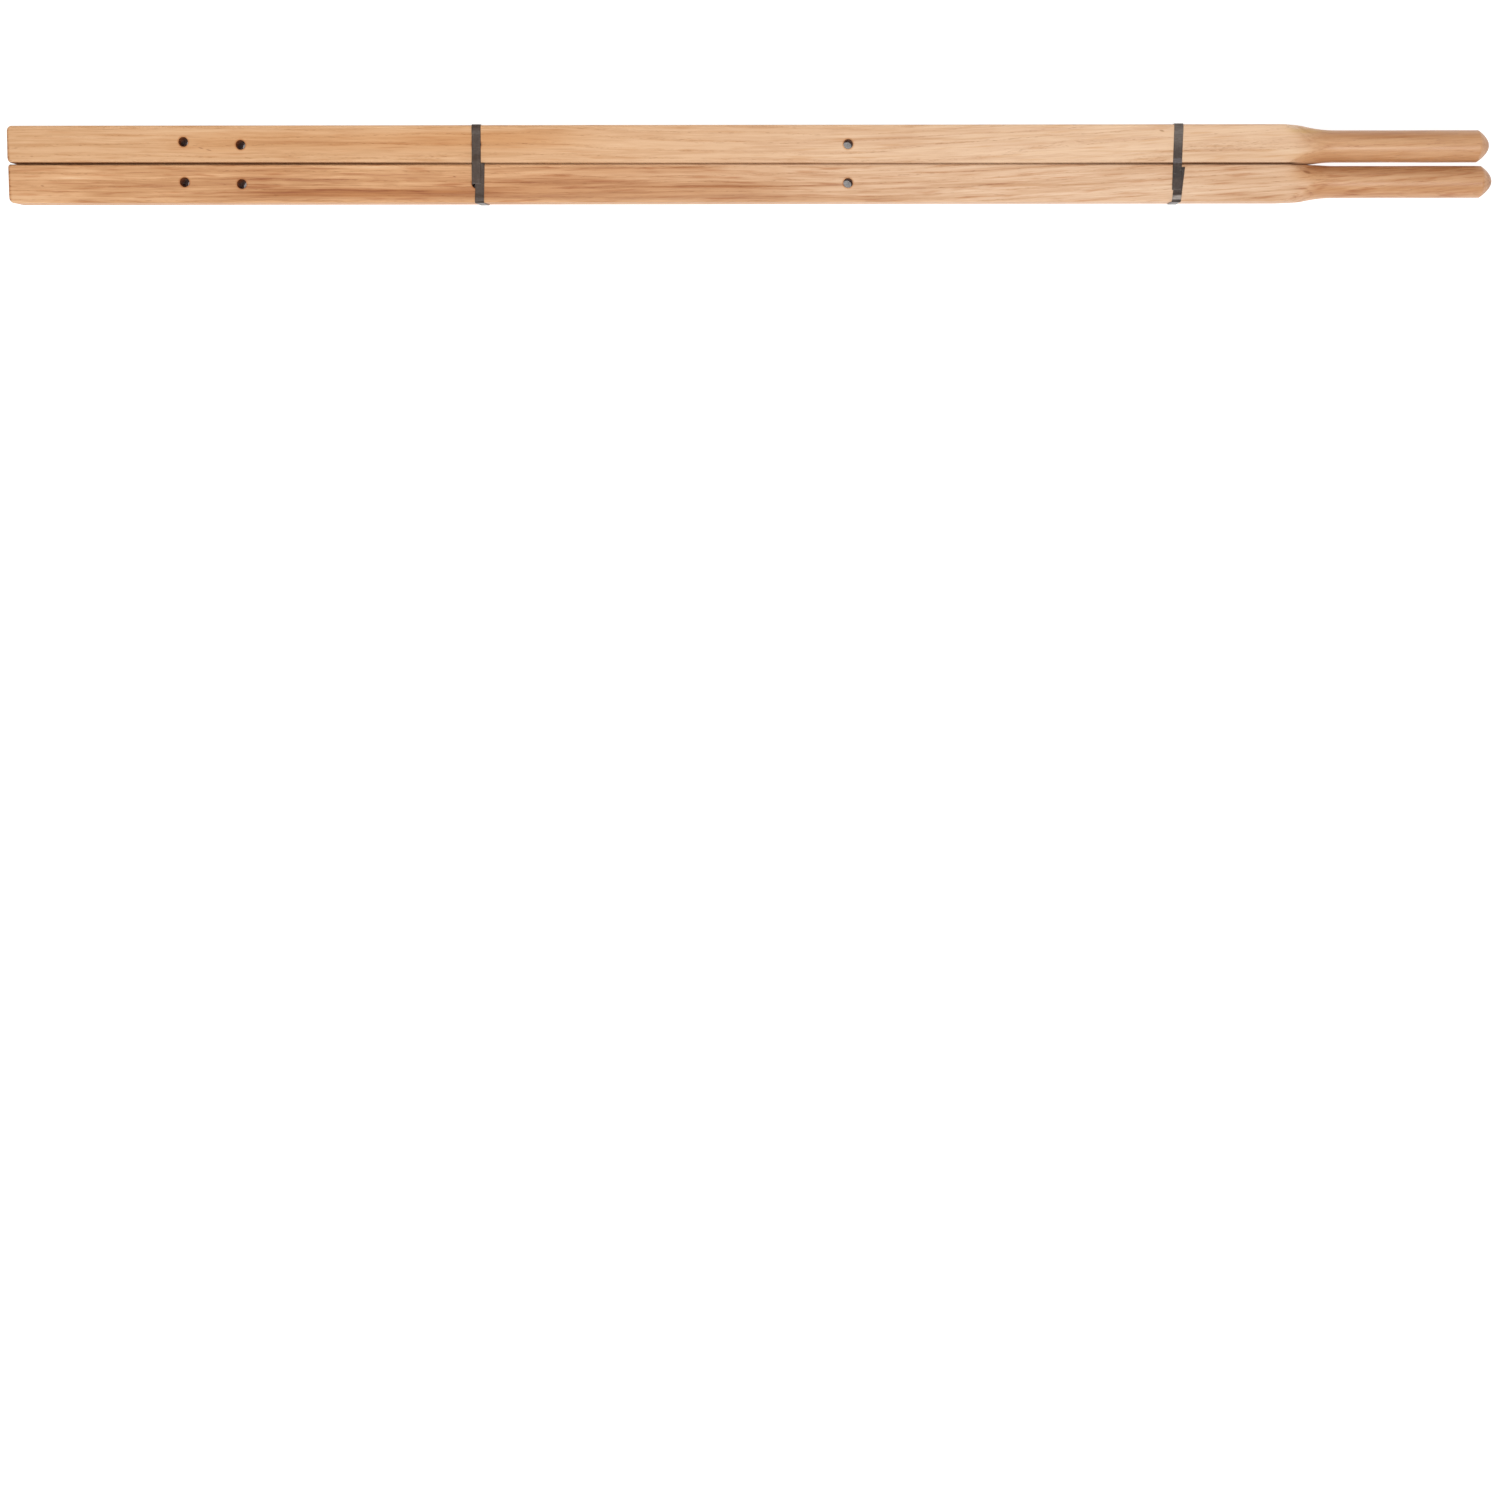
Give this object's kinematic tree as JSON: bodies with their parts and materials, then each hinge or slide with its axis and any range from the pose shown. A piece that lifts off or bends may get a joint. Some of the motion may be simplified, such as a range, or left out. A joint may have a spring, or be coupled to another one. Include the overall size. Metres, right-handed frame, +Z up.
{
  "type": "strapped pair of wooden barrow handles",
  "caption": "Long square wooden barrow handles side by side, drilled for bolts, with round turned grips at one end, bundled by flat plastic straps.",
  "frame": {"origin": "on the surface that the bundle lies on, under the middle of its bounding box", "axes": "+X along the handles towards the grips, +Y across the bundle towards the upper handle, +Z up"},
  "size_m": [1.524, 0.079, 0.041],
  "materials": {
    "upper_wood": "bare planed hardwood, pale honey, straight fine grain, satin where the grip is sanded",
    "lower_wood": "bare planed hardwood, warmer and more strongly streaked, satin where the grip is sanded",
    "strapping": "dark grey polymer strapping with a soft sheen, finely embossed, welded where it laps"
  },
  "bodies": {
    "lower_handle": {"lower_handle": "lower_wood"},
    "upper_handle": {"upper_handle": "upper_wood"},
    "front_strap": {"front_strap": "strapping"},
    "rear_strap": {"rear_strap": "strapping"}
  },
  "joints": [
    {"name": "upper_handle_slide", "type": "slide", "parent": "lower_handle", "child": "upper_handle", "axis": [1, 0, 0], "range_m": [-0.1, 0.44]},
    {"name": "front_strap_slide", "type": "slide", "parent": "lower_handle", "child": "front_strap", "axis": [1, 0, 0], "range_m": [-0.46, 0.3]},
    {"name": "rear_strap_slide", "type": "slide", "parent": "lower_handle", "child": "rear_strap", "axis": [1, 0, 0], "range_m": [-0.3, 0.31]}
  ]
}
